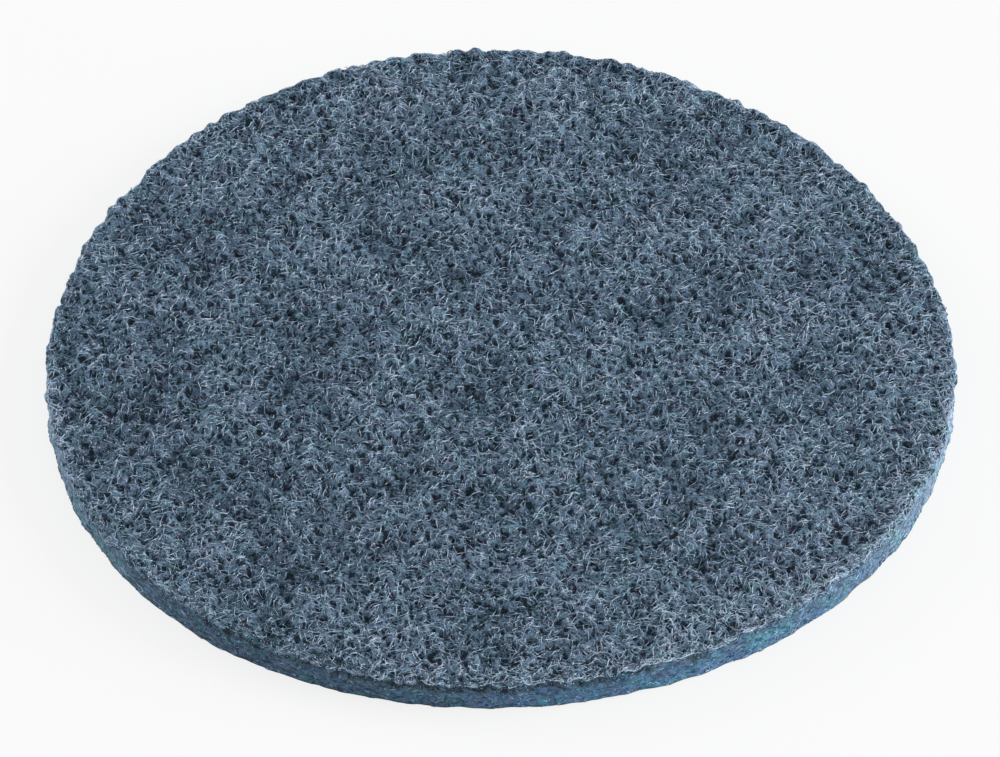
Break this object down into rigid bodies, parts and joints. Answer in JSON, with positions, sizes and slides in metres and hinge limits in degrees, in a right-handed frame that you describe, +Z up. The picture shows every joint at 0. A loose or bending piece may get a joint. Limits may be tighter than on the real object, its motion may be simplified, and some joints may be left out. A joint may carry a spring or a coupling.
{
  "type": "surface conditioning disc",
  "caption": "Round, thick, die-cut disc of non-woven nylon web coated with resin and abrasive grain, for blending and finishing metal on a hook-faced pad.",
  "frame": {"origin": "centre of the nominal circle on the underside, the face that grips the pad", "axes": "+Z up through the disc, out of its working face; +X to the right and +Y away from the viewer of the picture"},
  "size_m": [0.1249, 0.1249, 0.0049],
  "materials": {
    "web": "matt, open crimped fibre with resin and abrasive grain, blue felt down the cut edge"
  },
  "bodies": {
    "root": {"abrasive_web": "web"}
  },
  "joints": []
}
